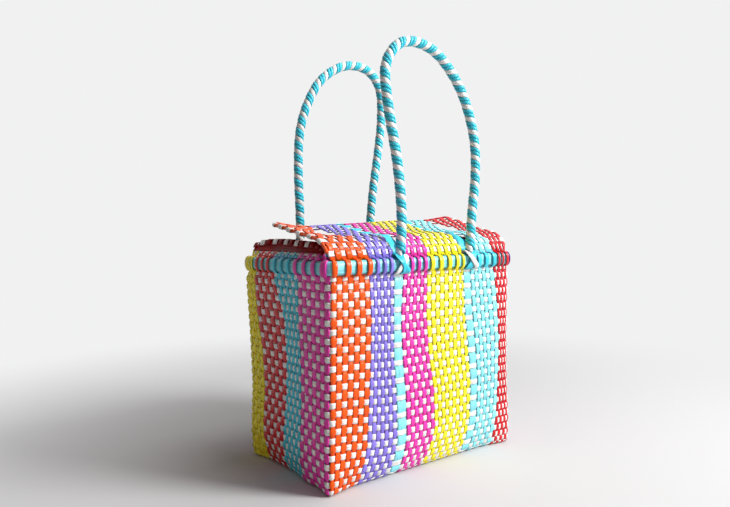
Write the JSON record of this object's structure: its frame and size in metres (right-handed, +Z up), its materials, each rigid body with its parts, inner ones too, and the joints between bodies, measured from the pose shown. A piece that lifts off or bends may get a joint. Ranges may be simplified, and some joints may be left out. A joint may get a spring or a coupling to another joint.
{
  "type": "woven plastic strip handbag",
  "caption": "Box-shaped handbag woven from coloured plastic strips, with a hinged woven lid, side flaps and tall wrapped handles that swing at the rim.",
  "frame": {"origin": "on the ground under the middle of the bag, at the centre of its overall box", "axes": "+X along the front to the right, +Y from the front wall to the back wall, +Z up"},
  "size_m": [0.315, 0.2064, 0.5574],
  "materials": {
    "orange_strip": "glossy woven strip",
    "purple_strip": "glossy woven strip",
    "pink_strip": "glossy woven strip",
    "yellow_strip": "glossy woven strip",
    "turquoise_strip": "glossy woven strip",
    "red_strip": "glossy woven strip",
    "white_strip": "glossy woven strip"
  },
  "bodies": {
    "bag": {"woven_body": "pink_strip", "rim_core": "turquoise_strip", "rim_wrap": "yellow_strip", "left_carrying_strap": "turquoise_strip", "right_carrying_strap": "turquoise_strip", "front_left_handle_knot": "turquoise_strip", "front_right_handle_knot": "turquoise_strip", "back_left_handle_knot": "turquoise_strip", "back_right_handle_knot": "turquoise_strip"},
    "lid": {"lid_panel": "orange_strip"},
    "left_flap": {"left_side_flap": "red_strip"},
    "right_flap": {"right_side_flap": "red_strip"},
    "front_handle": {"front_handle_wrap": "turquoise_strip", "front_handle_core": "white_strip"},
    "back_handle": {"back_handle_wrap": "turquoise_strip", "back_handle_core": "white_strip"}
  },
  "joints": [
    {"name": "lid_hinge", "type": "hinge", "parent": "bag", "child": "lid", "pos_m": [0, -0.093, 0.2774], "axis": [1, 0, 0], "range_deg": [-6, 36]},
    {"name": "left_flap_hinge", "type": "hinge", "parent": "bag", "child": "left_flap", "pos_m": [-0.15, 0, 0.277], "axis": [0, -1, 0], "range_deg": [-40, 90]},
    {"name": "right_flap_hinge", "type": "hinge", "parent": "bag", "child": "right_flap", "pos_m": [0.15, 0, 0.277], "axis": [0, 1, 0], "range_deg": [-40, 90]},
    {"name": "front_handle_hinge", "type": "hinge", "parent": "bag", "child": "front_handle", "pos_m": [0, -0.097, 0.2835], "axis": [1, 0, 0], "range_deg": [-30, 95]},
    {"name": "back_handle_hinge", "type": "hinge", "parent": "bag", "child": "back_handle", "pos_m": [0, 0.097, 0.2835], "axis": [-1, 0, 0], "range_deg": [-40, 95]}
  ]
}
